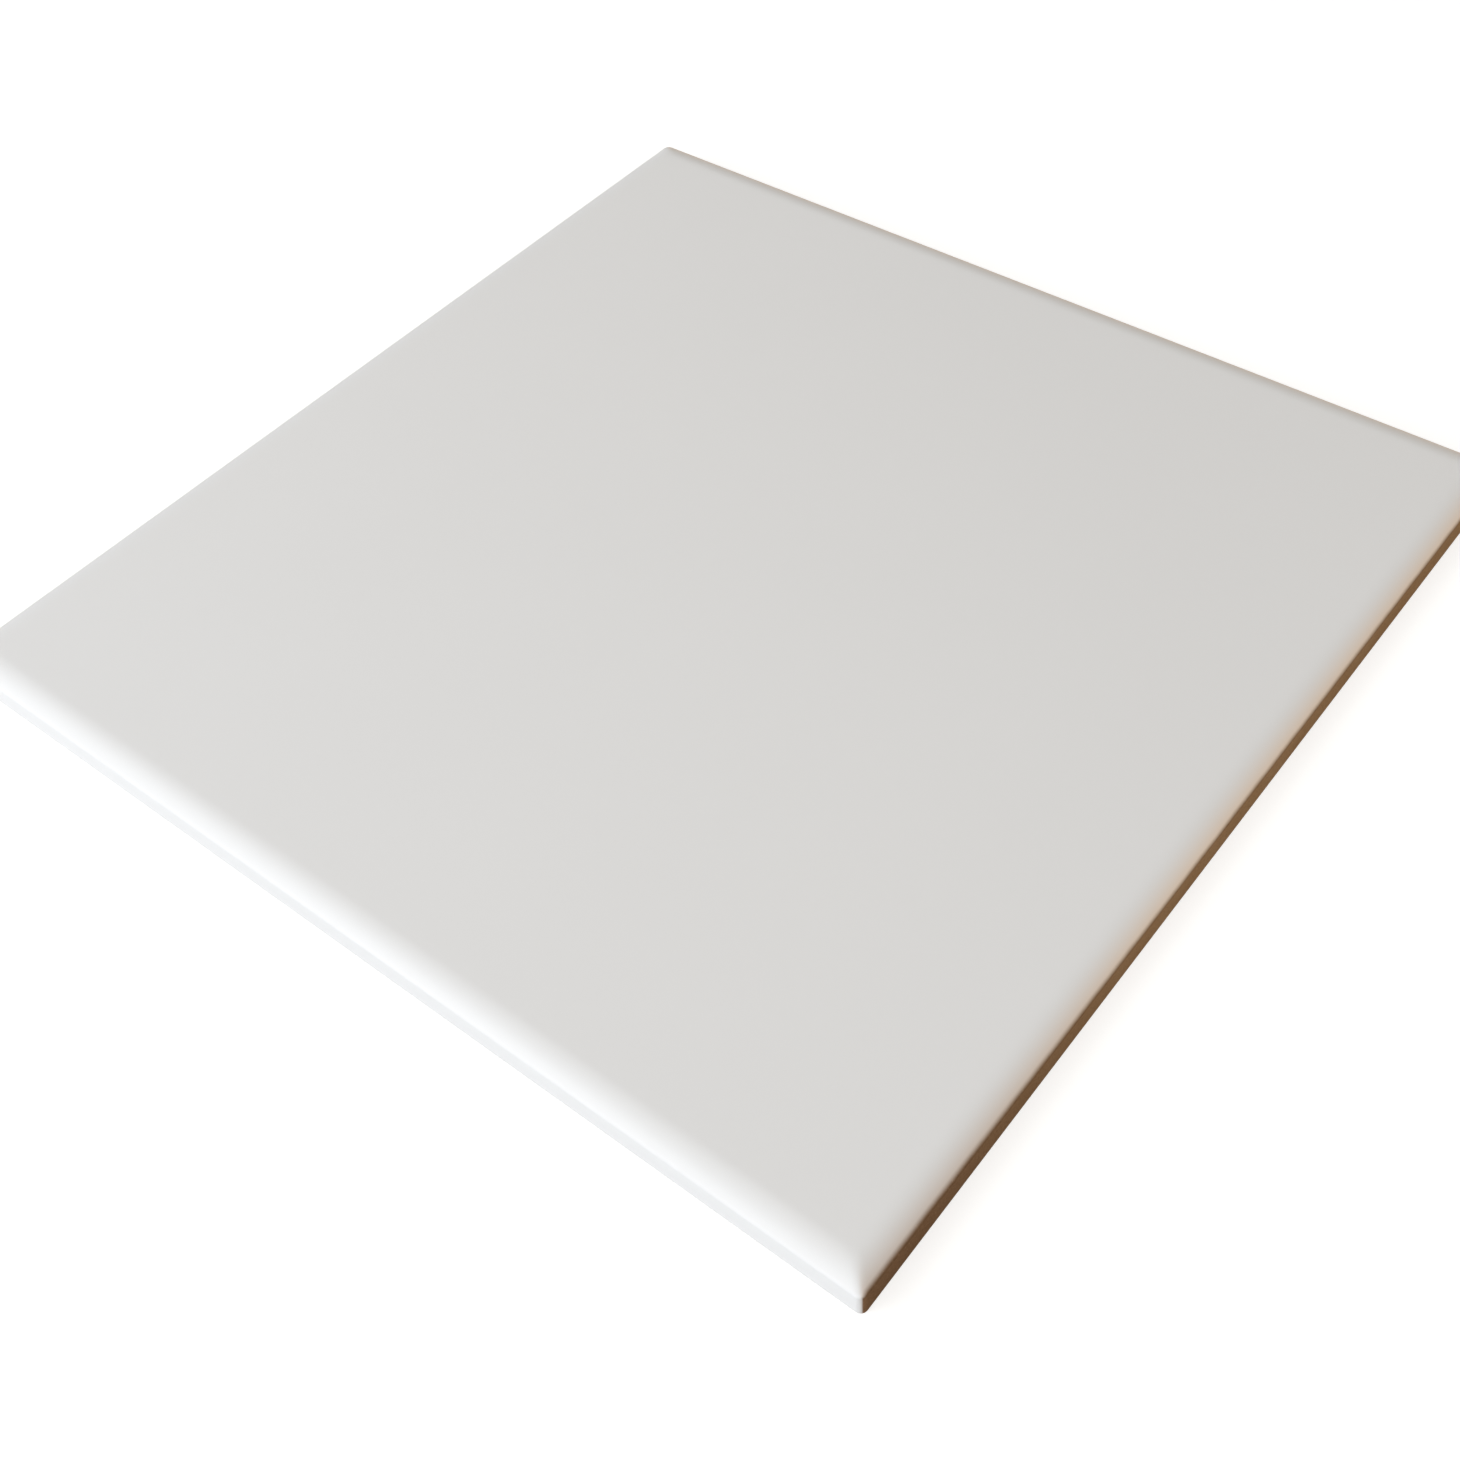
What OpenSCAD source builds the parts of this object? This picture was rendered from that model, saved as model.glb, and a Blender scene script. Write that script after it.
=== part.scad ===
// Square ceramic wall tile with a cushioned edge: one pressed and fired piece.
// Origin at the middle of the back, +Z out of the glazed face, millimetres.

/* [Tile] */
// Length of the tile along X, its joint not counted
tile_l = 198; // [98:1:298]
// Width of the tile along Y, its joint not counted
tile_w = 198; // [98:1:298]
// Thickness from the back to the flat of the face
tile_t = 6.5; // [5:0.1:12]
// Radius of the four upright corners in plan
corner_r = 1.2; // [0.5:0.1:4]

/* [Cushioned edge] */
// Width of the curved band round the face, from the flat to the edge wall
cushion_w = 5; // [4:0.5:15]
// How far the face falls from the flat to the top of the upright edge wall
cushion_drop = 1.9; // [1.3:0.1:3]
// Radius of the rim, which turns the band down into the edge wall
rim_r = 0.65; // [0.3:0.05:1.2]

/* [Keyed back] */
// Depth of the pockets pressed into the back
key_depth = 1; // [0.3:0.1:2.5]
// Distance from one rib to the next
key_pitch = 22; // [12:1:40]
// Width of a rib where it bears on the wall
rib_w = 3; // [1.5:0.5:6]
// Least width of the plain land round the pockets
land_min = 10; // [7:0.5:25]
// Slope of the pocket walls from upright, which frees the tile from its die
key_draft = 30; // [10:5:45]

/* [Hidden] */
$fn = 96;

// The band and the rim are arcs that share a tangent: one ends where the other starts.
reach = cushion_w - rim_r;
cushion_r = (pow(reach, 2) + pow(cushion_drop, 2) - pow(rim_r, 2)) / (2 * (cushion_drop - rim_r));
rim_slope = asin(reach / (cushion_r - rim_r));
wall_h = tile_t - cushion_drop;

// How far a pocket wall leans in from the back to the pocket's floor
draft_run = key_depth * tan(key_draft);
// How far a cutter runs out past the face it cuts
clear = 1;

// Pockets that fit in a row across a tile of this size, and the width that they fill
function pockets(span) = floor((span - 2 * land_min + rib_w) / key_pitch);
function key_field(span) = pockets(span) * key_pitch - rib_w;

// Stands a profile drawn in X and Y up on its X axis, and runs it along Y.
module run_along_y(len) {
    translate([0, len / 2, 0]) rotate([90, 0, 0]) linear_extrude(len) children();
}

// The same, along X.
module run_along_x(len) {
    rotate(90) run_along_y(len) children();
}

// The band's arc, from the end of the flat at the origin down to the rim
module cushion_arc() {
    translate([0, -cushion_r])
        intersection() {
            circle(r = cushion_r);
            polygon(2 * cushion_r * [[0, 0], [0, 1], [sin(rim_slope), cos(rim_slope)]]);
        }
}

// A section through the tile between two opposite edges
module cushioned_section(span) {
    flat = span - 2 * cushion_w;
    translate([-span / 2, 0]) square([span, wall_h]);
    translate([-flat / 2, 0]) square([flat, tile_t]);
    for (side = [0, 1])
        mirror([side, 0]) {
            translate([flat / 2, tile_t]) cushion_arc();
            translate([span / 2 - rim_r, wall_h]) circle(r = rim_r);
        }
}

// The outline in plan
module plan() {
    translate([-tile_l / 2 + corner_r, -tile_w / 2]) square([tile_l - 2 * corner_r, tile_w]);
    translate([-tile_l / 2, -tile_w / 2 + corner_r]) square([tile_l, tile_w - 2 * corner_r]);
    for (x = [-1, 1], y = [-1, 1])
        translate([x * (tile_l / 2 - corner_r), y * (tile_w / 2 - corner_r)]) circle(r = corner_r);
}

// The pressed blank: the cushions of neighbouring edges meet in a mitre at each corner.
module blank() {
    intersection() {
        run_along_y(tile_w) cushioned_section(tile_l);
        run_along_x(tile_l) cushioned_section(tile_w);
        linear_extrude(tile_t) plan();
    }
}

// A section through one row of pockets, open at the back and narrower at their floors
module pocket_row_section(span) {
    pocket_w = key_pitch - rib_w;
    for (i = [0 : pockets(span) - 1])
        translate([i * key_pitch - key_field(span) / 2, 0])
            polygon([
                [draft_run, key_depth],
                [pocket_w - draft_run, key_depth],
                [pocket_w, 0],
                [pocket_w, -clear],
                [0, -clear],
                [0, 0],
            ]);
}

// The pockets: rows along X crossed by rows along Y, with the grid of ribs left between them
module key_pockets() {
    intersection() {
        run_along_y(key_field(tile_w)) pocket_row_section(tile_l);
        run_along_x(key_field(tile_l)) pocket_row_section(tile_w);
    }
}

module tile() {
    color("whitesmoke")
        difference() {
            blank();
            key_pockets();
        }
}

tile();
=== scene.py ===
import math

import bpy
from mathutils import Matrix, Vector


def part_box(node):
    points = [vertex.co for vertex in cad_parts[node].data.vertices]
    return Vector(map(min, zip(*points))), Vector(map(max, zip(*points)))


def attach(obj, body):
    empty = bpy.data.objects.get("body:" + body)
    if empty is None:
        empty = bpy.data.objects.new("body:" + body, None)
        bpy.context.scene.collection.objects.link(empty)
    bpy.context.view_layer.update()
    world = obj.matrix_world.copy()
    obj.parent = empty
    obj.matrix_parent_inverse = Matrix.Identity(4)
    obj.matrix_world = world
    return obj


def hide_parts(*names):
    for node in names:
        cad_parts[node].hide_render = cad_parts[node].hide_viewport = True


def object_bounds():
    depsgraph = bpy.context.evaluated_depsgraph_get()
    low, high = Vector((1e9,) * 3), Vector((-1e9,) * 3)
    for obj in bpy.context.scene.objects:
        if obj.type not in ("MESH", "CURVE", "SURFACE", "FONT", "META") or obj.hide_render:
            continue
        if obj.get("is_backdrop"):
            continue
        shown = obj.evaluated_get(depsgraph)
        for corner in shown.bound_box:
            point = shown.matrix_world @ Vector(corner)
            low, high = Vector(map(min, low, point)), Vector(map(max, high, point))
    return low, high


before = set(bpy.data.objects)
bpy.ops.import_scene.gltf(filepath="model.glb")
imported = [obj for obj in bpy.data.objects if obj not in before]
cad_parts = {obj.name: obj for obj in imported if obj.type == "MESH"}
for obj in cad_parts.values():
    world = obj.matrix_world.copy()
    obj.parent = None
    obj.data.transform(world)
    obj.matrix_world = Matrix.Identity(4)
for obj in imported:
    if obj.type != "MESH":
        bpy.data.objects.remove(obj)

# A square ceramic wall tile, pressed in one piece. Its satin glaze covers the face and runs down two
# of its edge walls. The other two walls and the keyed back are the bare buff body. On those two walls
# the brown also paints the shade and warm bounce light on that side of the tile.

cad_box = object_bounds()

# ---------------------------------------------------------------- sizes, in metres

MM = 0.001
tile_low, tile_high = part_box("tile")
TILE_LENGTH = tile_high.x - tile_low.x
TILE_WIDTH = tile_high.y - tile_low.y
TILE_THICKNESS = tile_high.z - tile_low.z

CORNER_RADIUS = 1.2 * MM
CUSHION_WIDTH = 5 * MM
CUSHION_DROP = 1.9 * MM
RIM_RADIUS = 0.65 * MM
BACK_ARRIS_RADIUS = 0.3 * MM
WALL_HEIGHT = TILE_THICKNESS - CUSHION_DROP

KEY_DEPTH = 1 * MM
KEY_PITCH = 22 * MM
RIB_WIDTH = 3 * MM
LEAST_LAND = 10 * MM
KEY_DRAFT = math.radians(30)
POCKET_CORNER_RADIUS = 1.6 * MM
POCKET_EDGE_ROUNDING = 0.12 * MM

# How many strips the mesh has over each part of the tile
RIM_STRIPS = 6
CUSHION_STRIPS = 18
LAND_STRIPS = 3
WALL_STRIPS = 5
# and over half a pitch of the back, from the middle of a rib to the middle of a pocket
HALF_RIB_STRIPS = 1
DRAFT_STRIPS = 4
POCKET_CORNER_STRIPS = 3
POCKET_FLOOR_STRIPS = 1
PITCH_STRIPS = 2 * (HALF_RIB_STRIPS + DRAFT_STRIPS + POCKET_CORNER_STRIPS + POCKET_FLOOR_STRIPS)


# ---------------------------------------------------------------- camera

# Azimuth 0 is towards -Y, and 90 degrees is towards +X. The lamps below go by the same rule.
CAMERA_AIM = Vector((24.66 * MM, -33.05 * MM, TILE_THICKNESS))
CAMERA_DISTANCE = 301.97 * MM
CAMERA_AZIMUTH = math.radians(42.54)
CAMERA_ELEVATION = math.radians(48.80)
CAMERA_ROLL = math.radians(-5.33)
CAMERA_LENS = 45.29


def looking_back(azimuth, elevation):
    """The way out to a point seen at these angles, and the turn that faces back along it."""
    away = Vector((
        math.cos(elevation) * math.sin(azimuth),
        -math.cos(elevation) * math.cos(azimuth),
        math.sin(elevation),
    ))
    return away, away.to_track_quat("Z", "Y").to_matrix().to_4x4()


def make_camera():
    """Looks down on the tile from its front corner, a little off level."""
    away, turn = looking_back(CAMERA_AZIMUTH, CAMERA_ELEVATION)
    roll = Matrix.Rotation(CAMERA_ROLL, 4, "Z")
    camera = bpy.data.objects.new("camera", bpy.data.cameras.new("camera"))
    camera.data.lens = CAMERA_LENS
    camera.data.sensor_width = 36
    camera.data.clip_start = 0.01
    camera.matrix_world = Matrix.Translation(CAMERA_AIM + away * CAMERA_DISTANCE) @ turn @ roll
    bpy.context.scene.collection.objects.link(camera)
    bpy.context.scene.camera = camera


# ---------------------------------------------------------------- arithmetic in node trees

class Field:
    """A number that a node tree works out at every point, written with ordinary arithmetic."""

    def __init__(self, tree, socket):
        self.tree = tree
        self.socket = socket

    def __add__(self, other):
        return worked_out(self.tree, "ADD", self, other)

    def __radd__(self, other):
        return worked_out(self.tree, "ADD", other, self)

    def __sub__(self, other):
        return worked_out(self.tree, "SUBTRACT", self, other)

    def __rsub__(self, other):
        return worked_out(self.tree, "SUBTRACT", other, self)

    def __mul__(self, other):
        return worked_out(self.tree, "MULTIPLY", self, other)

    def __rmul__(self, other):
        return worked_out(self.tree, "MULTIPLY", other, self)

    def __truediv__(self, other):
        return worked_out(self.tree, "DIVIDE", self, other)

    def __lt__(self, other):
        return worked_out(self.tree, "LESS_THAN", self, other)

    def __gt__(self, other):
        return worked_out(self.tree, "GREATER_THAN", self, other)

    def __abs__(self):
        return worked_out(self.tree, "ABSOLUTE", self)

    def __round__(self):
        return worked_out(self.tree, "ROUND", self)

    def __floor__(self):
        return worked_out(self.tree, "FLOOR", self)


def plug(value, socket):
    """Feeds a field, a socket or a plain value to an input."""
    if isinstance(value, Field):
        value = value.socket
    if isinstance(value, bpy.types.NodeSocket):
        socket.id_data.links.new(value, socket)
    else:
        socket.default_value = value


def worked_out(tree, operation, *values):
    node = tree.nodes.new("ShaderNodeMath")
    node.operation = operation
    for value, socket in zip(values, node.inputs):
        plug(value, socket)
    return Field(tree, node.outputs[0])


def square(a):
    return a * a


def square_root(a):
    return worked_out(a.tree, "SQRT", a)


def sine(a):
    return worked_out(a.tree, "SINE", a)


def cosine(a):
    return worked_out(a.tree, "COSINE", a)


def sign(a):
    return worked_out(a.tree, "SIGN", a)


def least(a, b):
    return worked_out(a.tree, "MINIMUM", a, b)


def most(a, b):
    return worked_out(a.tree, "MAXIMUM", a, b)


def held_to_one(a):
    """a, held between 0 and 1."""
    return least(most(a, 0.0), 1.0)


def eased(a):
    """Goes from 0 to 1 as a does, with a gentle start and end."""
    held = held_to_one(a)
    return held * held * (3.0 - 2.0 * held)


def passing(distance, fade):
    """Goes from 0 to 1 as a distance passes zero, over a fade this wide."""
    return eased(distance / fade + 0.5)


def chosen(condition, yes, no):
    return condition * yes + (1.0 - condition) * no


def split(tree, vector):
    """The three parts of a vector, as fields."""
    node = tree.nodes.new("ShaderNodeSeparateXYZ")
    plug(vector, node.inputs[0])
    return [Field(tree, output) for output in node.outputs]


def joined(tree, x, y, z):
    node = tree.nodes.new("ShaderNodeCombineXYZ")
    for value, socket in zip((x, y, z), node.inputs):
        plug(value, socket)
    return node.outputs[0]


# ---------------------------------------------------------------- the tile's shape

def rounded_least(a, b, radius):
    """The lesser of two distances, with the crease between them rounded off."""
    apart = abs(a - b)
    rounded = (a + b) / 2.0 - radius + square_root(2.0 * square(radius) - square(apart)) / 2.0
    return chosen(apart < radius, rounded, least(a, b))


def round_corner(across, along, radius):
    """Bends lines that run square round a corner, as far in as radius, so that they run in arcs."""
    p = held_to_one(1.0 - across / radius)
    q = held_to_one(1.0 - along / radius)
    pull = radius * (1.0 - most(p, q) / square_root(square(p) + square(q)))
    return across + p * pull, along + q * pull


class TilePress:
    """Geometry Nodes that press a tile out of a plain block whose surface is cut into strips."""

    def __init__(self):
        self.tree = bpy.data.node_groups.new("tile_press", "GeometryNodeTree")
        self.group_in = self.tree.nodes.new("NodeGroupInput")
        self.settings = {}
        self.length = self.setting("Length", TILE_LENGTH)
        self.width = self.setting("Width", TILE_WIDTH)
        self.thickness = self.setting("Thickness", TILE_THICKNESS)
        self.corner_radius = self.setting("Corner radius", CORNER_RADIUS)
        self.cushion_width = self.setting("Cushion width", CUSHION_WIDTH)
        self.cushion_drop = self.setting("Cushion drop", CUSHION_DROP)
        self.rim_radius = self.setting("Rim radius", RIM_RADIUS)
        self.arris_radius = self.setting("Back arris radius", BACK_ARRIS_RADIUS)
        self.key_depth = self.setting("Pocket depth", KEY_DEPTH)
        self.key_pitch = self.setting("Pocket pitch", KEY_PITCH)
        self.rib_width = self.setting("Rib width", RIB_WIDTH)
        self.least_land = self.setting("Least land", LEAST_LAND)
        self.key_draft = self.setting("Pocket draft", KEY_DRAFT)
        self.pocket_radius = self.setting("Pocket corner radius", POCKET_CORNER_RADIUS)
        self.pocket_rounding = self.setting("Pocket edge rounding", POCKET_EDGE_ROUNDING)
        self.rim_strips = self.setting("Strips over the rim", RIM_STRIPS, "NodeSocketInt")
        self.cushion_strips = self.setting("Strips over the cushion", CUSHION_STRIPS, "NodeSocketInt")
        self.land_strips = self.setting("Strips over the land", LAND_STRIPS, "NodeSocketInt")
        self.pitch_strips = self.setting("Strips over a pitch", PITCH_STRIPS, "NodeSocketInt")
        self.wall_strips = self.setting("Strips up the wall", WALL_STRIPS, "NodeSocketInt")
        self.work_out_section()

    def setting(self, name, value, kind="NodeSocketFloat"):
        """Adds a named input to the tree and gives it as a field."""
        socket = self.tree.interface.new_socket(name, in_out="INPUT", socket_type=kind)
        self.settings[socket.identifier] = value
        return Field(self.tree, self.group_in.outputs[name])

    def work_out_section(self):
        """The cushion is an arc that ends where the rim's arc starts, on a shared tangent."""
        reach = self.cushion_width - self.rim_radius
        drop = self.cushion_drop
        self.cushion_radius = (square(reach) + square(drop) - square(self.rim_radius)) / (
            2.0 * (drop - self.rim_radius)
        )
        rim_sine = reach / (self.cushion_radius - self.rim_radius)
        self.rim_slope = worked_out(self.tree, "ARCSINE", rim_sine)
        self.rim_width = self.rim_radius * (1.0 - rim_sine)
        self.wall_height = self.thickness - drop
        self.draft_run = self.key_depth * worked_out(self.tree, "TANGENT", self.key_draft)

    def pocket_count(self, span):
        return math.floor((span - 2.0 * self.least_land + self.rib_width) / self.key_pitch)

    def first_rib(self, span):
        """How far in from the edge wall the middle of the outermost rib is."""
        return (span - self.pocket_count(span) * self.key_pitch) / 2.0

    def strip_count(self, span):
        edge_strips = self.rim_strips + self.cushion_strips + self.land_strips
        return 2.0 * edge_strips + self.pocket_count(span) * self.pitch_strips

    def line_inset(self, share, span):
        """How far in from the nearer edge wall a line of the block goes, from its share of the span."""
        count = share * self.strip_count(span)
        line = round(least(count, self.strip_count(span) - count))
        rim_turn = (math.pi / 2.0 - self.rim_slope) * held_to_one(line / self.rim_strips)
        on_rim = self.rim_radius * (1.0 - cosine(rim_turn))
        past_rim = line - self.rim_strips
        cushion_turn = self.rim_slope * (1.0 - held_to_one(past_rim / self.cushion_strips))
        on_cushion = self.cushion_width - self.cushion_radius * sine(cushion_turn)
        past_cushion = past_rim - self.cushion_strips
        land = self.first_rib(span) - self.cushion_width
        on_land = land * held_to_one(past_cushion / self.land_strips)
        pitches = most((past_cushion - self.land_strips) / self.pitch_strips, 0.0)
        whole = math.floor(pitches)
        on_key = whole * self.key_pitch + self.place_in_pitch(pitches - whole)
        return chosen(line < self.rim_strips, on_rim, on_cushion) + on_land + on_key

    def place_in_pitch(self, part):
        """Crowds the lines of one pitch towards the walls and corners of its pocket."""
        line = least(part, 1.0 - part) * self.pitch_strips
        past_rib = line - HALF_RIB_STRIPS
        past_draft = past_rib - DRAFT_STRIPS
        past_corner = past_draft - POCKET_CORNER_STRIPS
        wall_start = self.rib_width / 2.0 - self.pocket_rounding
        wall_end = self.rib_width / 2.0 + self.draft_run + self.pocket_rounding
        corner_end = self.rib_width / 2.0 + self.pocket_radius
        place = (
            wall_start * held_to_one(line)
            + (wall_end - wall_start) * held_to_one(past_rib / DRAFT_STRIPS)
            + (corner_end - wall_end) * held_to_one(past_draft / POCKET_CORNER_STRIPS)
            + (self.key_pitch / 2.0 - corner_end) * held_to_one(past_corner)
        )
        return chosen(part < 0.5, place, self.key_pitch - place)

    def place_in_pocket(self, inset, span):
        """Which way a point lies from the middle of the nearest rib, and how far into a pocket it is."""
        from_first = inset - self.first_rib(span)
        rib = most(round(from_first / self.key_pitch), 0.0)
        from_rib = from_first - rib * self.key_pitch
        side = chosen(from_first > 0.0, sign(from_rib), -1.0)
        inside = chosen(from_first > 0.0, abs(from_rib), from_first) - self.rib_width / 2.0
        return side, inside

    def face_height(self, inset):
        in_rim = self.rim_radius - least(inset, self.rim_width)
        rim = self.wall_height + square_root(square(self.rim_radius) - square(in_rim))
        in_cushion = most(self.cushion_width - inset, 0.0)
        arc = square_root(square(self.cushion_radius) - square(in_cushion))
        cushion = self.thickness - self.cushion_radius + arc
        return chosen(inset < self.rim_width, rim, cushion)

    def back_height(self, edge_inset, pocket_inset):
        """The back lies flat, but is rounded up at its edges and pressed in at the pockets."""
        in_arris = most(self.arris_radius - edge_inset, 0.0)
        arris = self.arris_radius - square_root(square(self.arris_radius) - square(in_arris))
        wall = (pocket_inset + self.pocket_rounding) / (self.draft_run + 2.0 * self.pocket_rounding)
        return arris + self.key_depth * eased(wall)

    def pressed_position(self):
        position = self.tree.nodes.new("GeometryNodeInputPosition").outputs[0]
        block_x, block_y, block_z = split(self.tree, position)
        inset_x = self.line_inset(block_x + 0.5, self.length)
        inset_y = self.line_inset(block_y + 0.5, self.width)
        edge_inset = least(inset_x, inset_y)
        side_x, inside_x = self.place_in_pocket(inset_x, self.length)
        side_y, inside_y = self.place_in_pocket(inset_y, self.width)
        pocket_inset = least(inside_x, inside_y)
        arc_x, arc_y = round_corner(inset_x, inset_y, self.corner_radius)
        pocket_x, pocket_y = round_corner(
            most(inside_x, 0.0), most(inside_y, 0.0), self.pocket_radius
        )
        in_pocket = pocket_inset > 0.0
        arc_x = arc_x + in_pocket * side_x * (pocket_x - inside_x)
        arc_y = arc_y + in_pocket * side_y * (pocket_y - inside_y)
        mitred_inset = most(rounded_least(arc_x, arc_y, self.corner_radius), 0.0)
        top = self.face_height(mitred_inset)
        back = self.back_height(edge_inset, pocket_inset)
        up = block_z + 0.5
        return joined(
            self.tree,
            sign(block_x) * (self.length / 2.0 - arc_x),
            sign(block_y) * (self.width / 2.0 - arc_y),
            back + (top - back) * up,
        )

    def build(self, material):
        """Ends the tree, runs it once and gives the pressed tile as a plain mesh."""
        nodes = self.tree.nodes
        block = nodes.new("GeometryNodeMeshCube")
        plug(self.strip_count(self.length) + 1.0, block.inputs["Vertices X"])
        plug(self.strip_count(self.width) + 1.0, block.inputs["Vertices Y"])
        plug(self.wall_strips + 1.0, block.inputs["Vertices Z"])
        pressed = nodes.new("GeometryNodeSetPosition")
        plug(self.pressed_position(), pressed.inputs["Position"])
        smooth = nodes.new("GeometryNodeSetShadeSmooth")
        realized = nodes.new("GeometryNodeRealizeInstances")
        finished = nodes.new("GeometryNodeSetMaterial")
        finished.inputs["Material"].default_value = material
        self.tree.interface.new_socket(
            "Tile", in_out="OUTPUT", socket_type="NodeSocketGeometry"
        )
        group_out = nodes.new("NodeGroupOutput")
        chain = [block, pressed, smooth, realized, finished, group_out]
        for before, after in zip(chain, chain[1:]):
            self.tree.links.new(before.outputs[0], after.inputs[0])
        return run_tree(self.tree, self.settings)


def run_tree(tree, settings):
    """Evaluates a Geometry Nodes tree on an empty object and keeps the mesh it makes."""
    holder = bpy.data.objects.new("press", bpy.data.meshes.new("press"))
    bpy.context.scene.collection.objects.link(holder)
    modifier = holder.modifiers.new("press", "NODES")
    modifier.node_group = tree
    for identifier, value in settings.items():
        modifier[identifier] = value
    bpy.context.view_layer.update()
    evaluated = holder.evaluated_get(bpy.context.evaluated_depsgraph_get())
    mesh = bpy.data.meshes.new_from_object(evaluated)
    holder.modifiers.clear()
    bpy.data.objects.remove(holder)
    return mesh


# ---------------------------------------------------------------- glaze and biscuit

GLAZE_WHITE = (0.76, 0.751, 0.746, 1.0)
GLAZE_POOLED = (0.772, 0.763, 0.758, 1.0)
# The next two are the warm tint on the cushions at +X and +Y: thin glaze with painted warm bounce light,
# then the same darkened by the painted shade towards -Y.
GLAZE_THIN_AND_BOUNCE = (0.84, 0.665, 0.52, 1.0)
GLAZE_THIN_AND_BOUNCE_SHADED = (0.52, 0.42, 0.36, 1.0)
BISCUIT_BUFF = (0.395, 0.224, 0.109, 1.0)
BISCUIT_PALE = (0.475, 0.30, 0.168, 1.0)
BISCUIT_GROG = (0.11, 0.06, 0.032, 1.0)
BISCUIT_CHAMOTTE = (0.66, 0.45, 0.28, 1.0)
# The next two paint shade on the body: towards -Y, and along the top of the bare walls.
BISCUIT_FRONT_SHADE = (0.23, 0.129, 0.071, 1.0)
BISCUIT_RIM_SHADE = (0.15, 0.085, 0.045, 1.0)
BISCUIT_RUBBED = (0.60, 0.45, 0.31, 1.0)

GLAZE_ROUGHNESS = 0.4
BISCUIT_ROUGHNESS = 0.9
COAT_SHARE = 0.5
COAT_ROUGHNESS = 0.32

# Where the glaze ends over the rim of a bare wall. It creeps back towards -Y, along with the painted
# shade there, and runs further out at the far wall, which is at +Y, and next to a corner shared with a
# glazed wall.
RIM_LAP = 0.67 * MM
RIM_CREEP = 0.44 * MM
RIM_FADE = 1.4 * MM
FAR_RIM_RUN = 0.4 * MM
CORNER_REACH = 1.5 * MM
CORNER_LAP = 0.2 * MM

# Where it ends at the upright corners and at the foot of a glazed wall, and how its end wavers
ARRIS_WRAP = 0.1 * MM
ARRIS_FADE = 0.4 * MM
WALL_TO_RIM = 0.4 * MM
GLAZE_FOOT = 0.12 * MM
FOOT_FADE = 0.1 * MM
WAVER_SIZE = 4 * MM
WAVER_DEPTH = 0.3 * MM

# Below this height a point is part of the back, unless it is this near to a wall
ABOVE_POCKETS = 2 * MM
WALL_SKIN = 0.45 * MM

# Where the glaze is thin and warm bounce light is painted on it, and how the glaze ripples
THIN_AND_BOUNCE_REACH = 4.2 * MM
THIN_AND_BOUNCE_SHARE_FAR = 0.85
MITRE_FADE = 1.2 * MM
CLOUD_SIZE = 40 * MM
RIPPLE_SIZE = 2.2 * MM
RIPPLE_HEIGHT = 0.004 * MM
GLAZE_PROUD = 0.05 * MM

# Where shade is painted on the body, towards -Y and along the top of the bare walls, and how it is
# rubbed
FRONT_SHADE_REACH = 90 * MM
FRONT_SHADE_SHARE = 0.85
PATCH_SIZE = 9 * MM
RIM_SHADE_BELOW_RIM = 0.2 * MM
RIM_SHADE_REACH = 0.5 * MM
RIM_SHADE_SHARE = 0.45
RUB_HEIGHT = 0.2 * MM
RUB_SIZE = 6 * MM
RUB_START = 0.42
RUB_SPAN = 0.2
RUB_SHARE = 0.5

# The grains in the body: grog at the noise's peaks, chamotte in its hollows
GRAIN_SIZE = 0.45 * MM
GROG_START = 0.54
GROG_SPAN = 0.16
GROG_SHARE = 0.42
CHAMOTTE_START = 0.44
CHAMOTTE_SPAN = 0.14
CHAMOTTE_SHARE = 0.18
GRIT_SIZE = 0.35 * MM
GRIT_HEIGHT = 0.05 * MM


def noise(tree, place, size, detail=2.0, roughness=0.5):
    """Cloudy noise whose lumps are about size metres across, from 0 to 1."""
    node = tree.nodes.new("ShaderNodeTexNoise")
    plug(place, node.inputs["Vector"])
    node.inputs["Scale"].default_value = 1.0 / size
    node.inputs["Detail"].default_value = detail
    node.inputs["Roughness"].default_value = roughness
    return Field(tree, node.outputs["Fac"])


def mixed_colour(tree, share, first, second):
    node = tree.nodes.new("ShaderNodeMix")
    node.data_type = "RGBA"
    sockets = {socket.identifier: socket for socket in [*node.inputs, *node.outputs]}
    plug(share, sockets["Factor_Float"])
    plug(first, sockets["A_Color"])
    plug(second, sockets["B_Color"])
    return sockets["Result_Color"]


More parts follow.
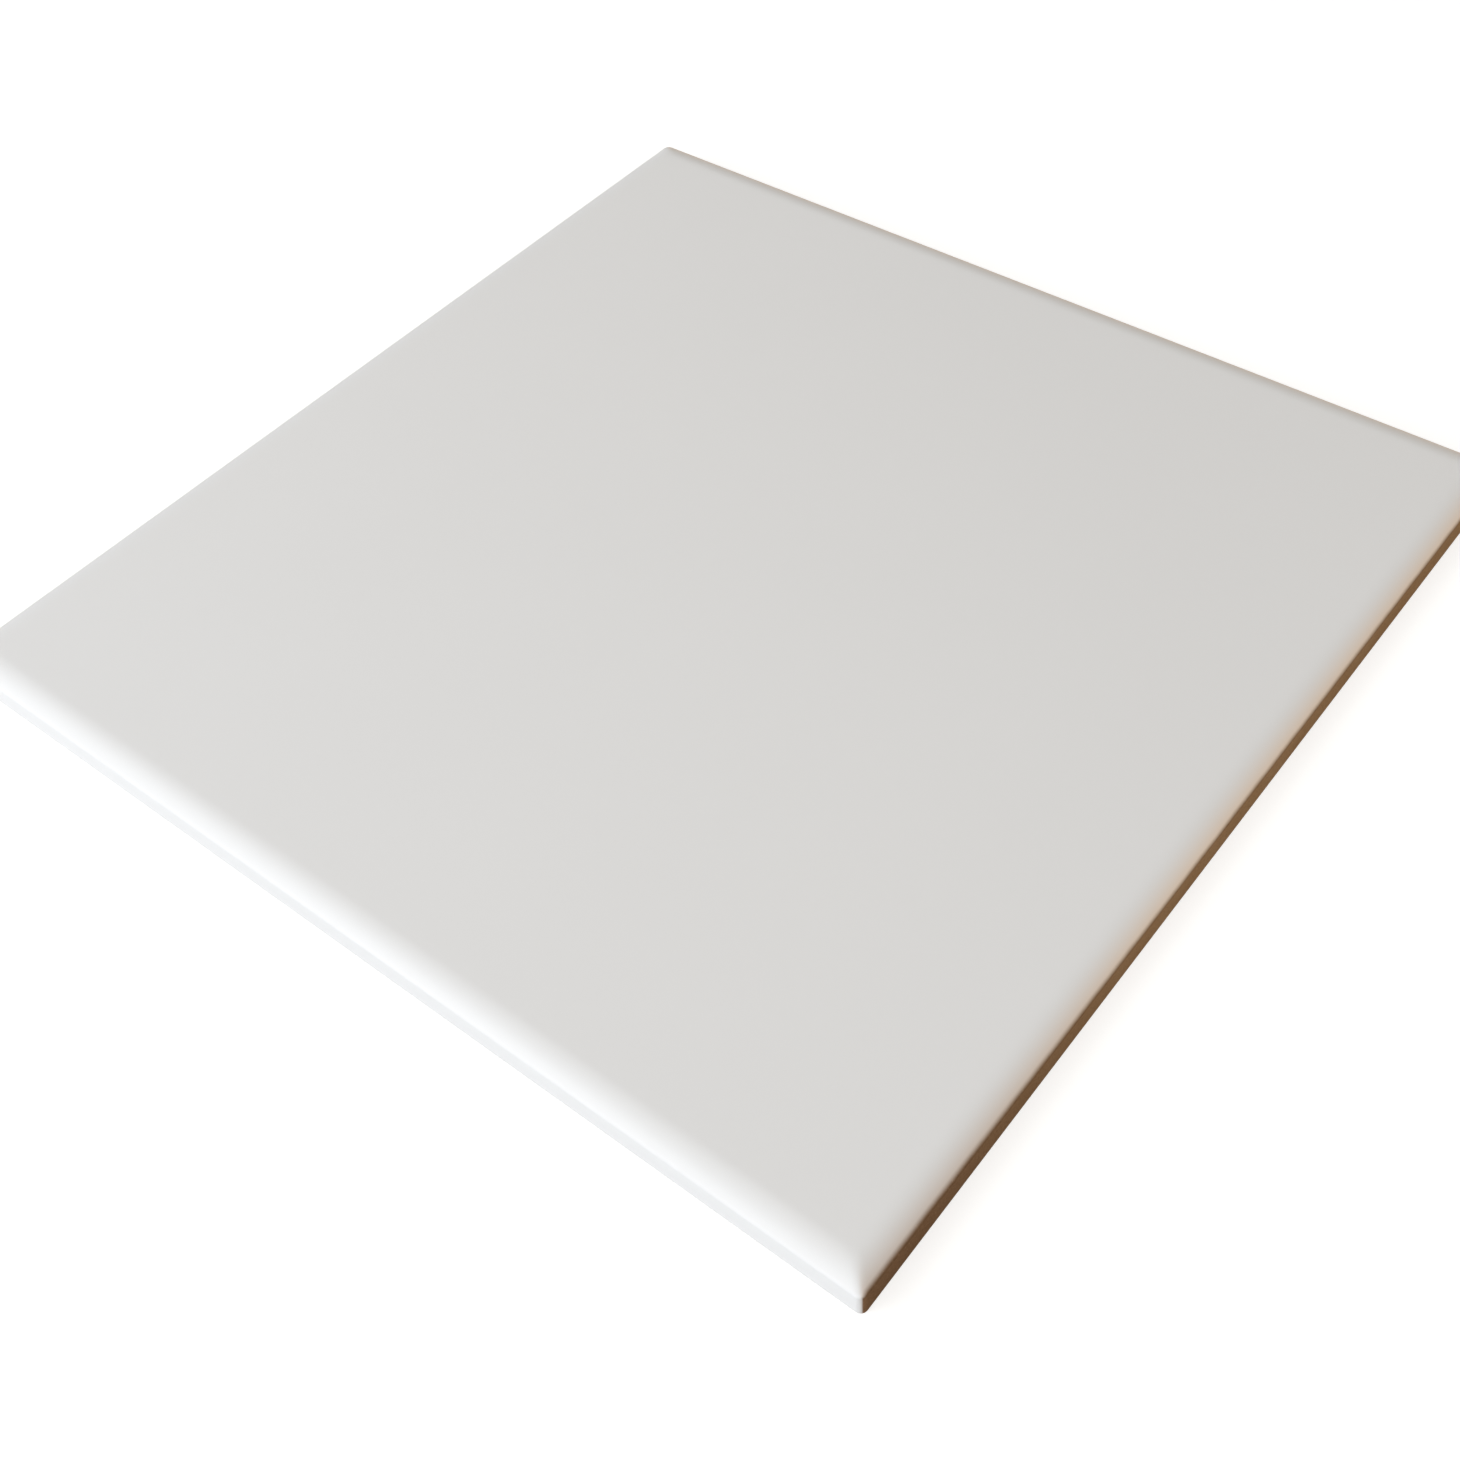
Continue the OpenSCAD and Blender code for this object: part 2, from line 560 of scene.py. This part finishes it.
# Leaving the walls at +X and +Y bare gives them the biscuit's brown, which also paints the shade and
# warm bounce light on that side.
def glaze_cover(tree, place, front_shade):
    """1 on the face, the cushion and the walls at -X and -Y, and 0 on the bare walls and the back."""
    x, y, z = split(tree, place)
    to_plus_x = TILE_LENGTH / 2 - x
    to_plus_y = TILE_WIDTH / 2 - y
    to_glazed_wall = least(TILE_LENGTH / 2 + x, TILE_WIDTH / 2 + y)
    to_wall = least(TILE_LENGTH / 2 - abs(x), TILE_WIDTH / 2 - abs(y))
    rise = most(z - WALL_HEIGHT, 0.0)
    waver = (noise(tree, place, WAVER_SIZE, detail=3.0) - 0.5) * WAVER_DEPTH
    down_rim = least(to_plus_x, to_plus_y + FAR_RIM_RUN) + rise + waver
    from_corner = eased(to_glazed_wall / CORNER_REACH)
    lap = CORNER_LAP + from_corner * (RIM_LAP - CORNER_LAP + front_shade * RIM_CREEP)
    over_rim = passing(down_rim - lap, RIM_FADE)
    past_arris = least(to_plus_x, to_plus_y) - to_glazed_wall + waver * 0.5 + ARRIS_WRAP
    on_glazed_wall = passing(past_arris, ARRIS_FADE)
    inside_lap = chosen(eased(rise / WALL_TO_RIM), over_rim, on_glazed_wall)
    above_foot = passing(z + waver * 0.5 - GLAZE_FOOT, FOOT_FADE)
    on_wall = (to_wall < WALL_SKIN) * above_foot
    return inside_lap * most(on_wall, z > ABOVE_POCKETS)


def painted_front_shade(tree, place):
    """Painted shade that darkens the body and the warm tint towards -Y, where less light falls on the
    bare wall.
    """
    y = split(tree, place)[1]
    return eased(1.0 - (TILE_WIDTH / 2 + y) / FRONT_SHADE_REACH) * FRONT_SHADE_SHARE


def glaze_colour(tree, place, front_shade):
    """White, with a warm tint on the cushions of the bare walls: thin glaze there, and painted warm
    bounce light.
    """
    x, y = split(tree, place)[:2]
    cloud = noise(tree, place, CLOUD_SIZE)
    white = mixed_colour(tree, cloud, GLAZE_WHITE, GLAZE_POOLED)
    to_plus_x = TILE_LENGTH / 2 - x
    to_plus_y = TILE_WIDTH / 2 - y
    to_glazed_wall = least(TILE_LENGTH / 2 + x, TILE_WIDTH / 2 + y)
    # Thin glaze and painted warm bounce light on the cushions at +X and +Y, darkened towards -Y by the
    # painted shade
    thin_and_bounce_x = square(held_to_one(1.0 - to_plus_x / THIN_AND_BOUNCE_REACH))
    thin_and_bounce_y = square(held_to_one(1.0 - to_plus_y / THIN_AND_BOUNCE_REACH)) * THIN_AND_BOUNCE_SHARE_FAR
    past_mitre = passing(to_glazed_wall - least(to_plus_x, to_plus_y), MITRE_FADE)
    thin_and_bounce = mixed_colour(tree, front_shade, GLAZE_THIN_AND_BOUNCE, GLAZE_THIN_AND_BOUNCE_SHADED)
    return mixed_colour(tree, most(thin_and_bounce_x, thin_and_bounce_y) * past_mitre, white, thin_and_bounce)


def biscuit_colour(tree, place, front_shade):
    """Buff and grainy, rubbed pale where it bears, with painted shade towards -Y and along the top of
    the bare walls.
    """
    z = split(tree, place)[2]
    patch = noise(tree, place, PATCH_SIZE, detail=3.0)
    buff = mixed_colour(tree, patch, BISCUIT_BUFF, BISCUIT_PALE)
    # Painted shade on the body towards -Y
    front_shaded = mixed_colour(tree, front_shade, buff, BISCUIT_FRONT_SHADE)
    # Painted shade along the top of the bare walls, just under the rim, darkening the light that the
    # rounded rim catches
    rim_shade = eased((z - WALL_HEIGHT + RIM_SHADE_BELOW_RIM) / RIM_SHADE_REACH) * RIM_SHADE_SHARE
    rim_shaded = mixed_colour(tree, rim_shade, front_shaded, BISCUIT_RIM_SHADE)
    wear = noise(tree, place, RUB_SIZE, detail=4.0, roughness=0.6)
    worn = eased((wear - RUB_START) / RUB_SPAN)
    rubbed = eased(1.0 - z / RUB_HEIGHT) * worn * RUB_SHARE
    bearing = mixed_colour(tree, rubbed, rim_shaded, BISCUIT_RUBBED)
    grain = noise(tree, place, GRAIN_SIZE, detail=4.0, roughness=0.65)
    grog = eased((grain - GROG_START) / GROG_SPAN) * GROG_SHARE
    specked = mixed_colour(tree, grog, bearing, BISCUIT_GROG)
    chamotte = eased((CHAMOTTE_START - grain) / CHAMOTTE_SPAN) * CHAMOTTE_SHARE
    return mixed_colour(tree, chamotte, specked, BISCUIT_CHAMOTTE)


def surface_height(tree, place, glazed):
    """The glaze stands a little proud of the gritty biscuit and is faintly rippled."""
    ripple = noise(tree, place, RIPPLE_SIZE, detail=1.0)
    grit = noise(tree, place, GRIT_SIZE, detail=4.0, roughness=0.65)
    return chosen(glazed, ripple * RIPPLE_HEIGHT + GLAZE_PROUD, grit * GRIT_HEIGHT)


def make_tile_material():
    """One shader for the whole tile. Only the glaze is glossy, and its coat carries all the gloss."""
    material = bpy.data.materials.new("glaze_on_buff_biscuit")
    material.use_nodes = True
    tree = material.node_tree
    shader = tree.nodes["Principled BSDF"]
    shader.inputs["Specular IOR Level"].default_value = 0.0
    shader.inputs["Coat Roughness"].default_value = COAT_ROUGHNESS
    place = tree.nodes.new("ShaderNodeTexCoord").outputs["Object"]
    # Painted shade towards -Y, which darkens the body and the warm tint and draws the glaze line back
    # there
    front_shade = painted_front_shade(tree, place)
    glazed = glaze_cover(tree, place, front_shade)
    biscuit = biscuit_colour(tree, place, front_shade)
    colour = mixed_colour(tree, glazed, biscuit, glaze_colour(tree, place, front_shade))
    plug(colour, shader.inputs["Base Color"])
    plug(glazed * COAT_SHARE, shader.inputs["Coat Weight"])
    plug(chosen(glazed, GLAZE_ROUGHNESS, BISCUIT_ROUGHNESS), shader.inputs["Roughness"])
    bump = tree.nodes.new("ShaderNodeBump")
    bump.inputs["Strength"].default_value = 1.0
    bump.inputs["Distance"].default_value = 1.0
    plug(surface_height(tree, place, glazed), bump.inputs["Height"])
    plug(bump.outputs[0], shader.inputs["Normal"])
    return material


# ---------------------------------------------------------------- floor, lamps and world

FLOOR_REACH = 3.0
FLOOR_COLOUR = (0.47, 0.46, 0.445, 1.0)
# The lamps fade further out, so the glow that keeps the floor white grows there
FLOOR_GLOW_NEAR = 0.7
FLOOR_GLOW_GAIN = 0.3
FLOOR_GLOW_START = 0.5
FLOOR_GLOW_SPAN = 1.5

ROOM_WHITE = (1.0, 1.0, 1.0, 1.0)
WARM_FILL = (1.10, 1.0, 0.84, 1.0)
FILL_STRENGTH = 0.15
DAYLIGHT = (0.95, 1.0, 1.055)
WARM_LIGHT = (1.05, 0.97, 0.86)
BACK_LIGHT = (1.0, 0.94, 0.84)


def make_floor():
    """A pale floor that shows white to the camera and keeps the tile's shadow."""
    mesh = bpy.data.meshes.new("floor")
    turns = ((-1, -1), (1, -1), (1, 1), (-1, 1))
    corners = [Vector((x * FLOOR_REACH, y * FLOOR_REACH, tile_low.z)) for x, y in turns]
    mesh.from_pydata(corners, [], [(0, 1, 2, 3)])
    floor = bpy.data.objects.new("floor", mesh)
    bpy.context.scene.collection.objects.link(floor)
    material = bpy.data.materials.new("pale_floor")
    material.use_nodes = True
    tree = material.node_tree
    shader = tree.nodes["Principled BSDF"]
    shader.inputs["Base Color"].default_value = FLOOR_COLOUR
    shader.inputs["Roughness"].default_value = 0.9
    shader.inputs["Specular IOR Level"].default_value = 0.1
    x, y = split(tree, tree.nodes.new("ShaderNodeTexCoord").outputs["Object"])[:2]
    far_off = eased((square_root(square(x) + square(y)) - FLOOR_GLOW_START) / FLOOR_GLOW_SPAN)
    glow = FLOOR_GLOW_NEAR + far_off * FLOOR_GLOW_GAIN
    shader.inputs["Emission Color"].default_value = ROOM_WHITE
    plug(ray_seen(tree) * glow, shader.inputs["Emission Strength"])
    mesh.materials.append(material)
    floor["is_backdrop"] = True


def ray_seen(tree):
    """1 for what the camera sees, straight, in a reflection or through glass."""
    node = tree.nodes.new("ShaderNodeLightPath")
    rays = [Field(tree, node.outputs[name]) for name in (
        "Is Camera Ray", "Is Glossy Ray", "Is Transmission Ray",
    )]
    return most(most(rays[0], rays[1]), rays[2])


def make_world():
    """A room that shows white, and lights the tile with a weaker and slightly warm fill."""
    world = bpy.data.worlds.new("studio")
    world.use_nodes = True
    bpy.context.scene.world = world
    tree = world.node_tree
    background = tree.nodes["Background"]
    seen = ray_seen(tree)
    plug(mixed_colour(tree, seen, WARM_FILL, ROOM_WHITE), background.inputs["Color"])
    plug(chosen(seen, 1.0, FILL_STRENGTH), background.inputs["Strength"])


def make_lamp(name, azimuth, elevation, distance, size, power, colour):
    """A soft square lamp, aimed at the tile's middle. Its azimuth and elevation are in degrees."""
    lamp = bpy.data.lights.new(name, "AREA")
    lamp.shape = "SQUARE"
    lamp.size = size
    lamp.energy = power
    lamp.color = colour
    holder = bpy.data.objects.new(name, lamp)
    away, turn = looking_back(math.radians(azimuth), math.radians(elevation))
    holder.matrix_world = Matrix.Translation(away * distance) @ turn
    bpy.context.scene.collection.objects.link(holder)


# ---------------------------------------------------------------- the scene

bpy.context.scene.view_settings.view_transform = "Standard"
make_camera()

tile_mesh = TilePress().build(make_tile_material())
tile_mesh.name = "glazed_tile"
glazed_tile = bpy.data.objects.new("glazed_tile", tile_mesh)
bpy.context.scene.collection.objects.link(glazed_tile)
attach(glazed_tile, "root")
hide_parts("tile")

make_floor()
make_world()
make_lamp("window", -10, 30, distance=1.6, size=1.8, power=26.5, colour=DAYLIGHT)
make_lamp("side", -45, 35, distance=1.0, size=0.7, power=3.1, colour=DAYLIGHT)
make_lamp("right", 100, 40, distance=1.2, size=0.8, power=3.4, colour=WARM_LIGHT)
make_lamp("back", -125, 45, distance=1.2, size=0.8, power=1.2, colour=BACK_LIGHT)

scene_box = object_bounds()
({
    "cad": [list(corner) for corner in cad_box],
    "visual": [list(corner) for corner in scene_box],
})
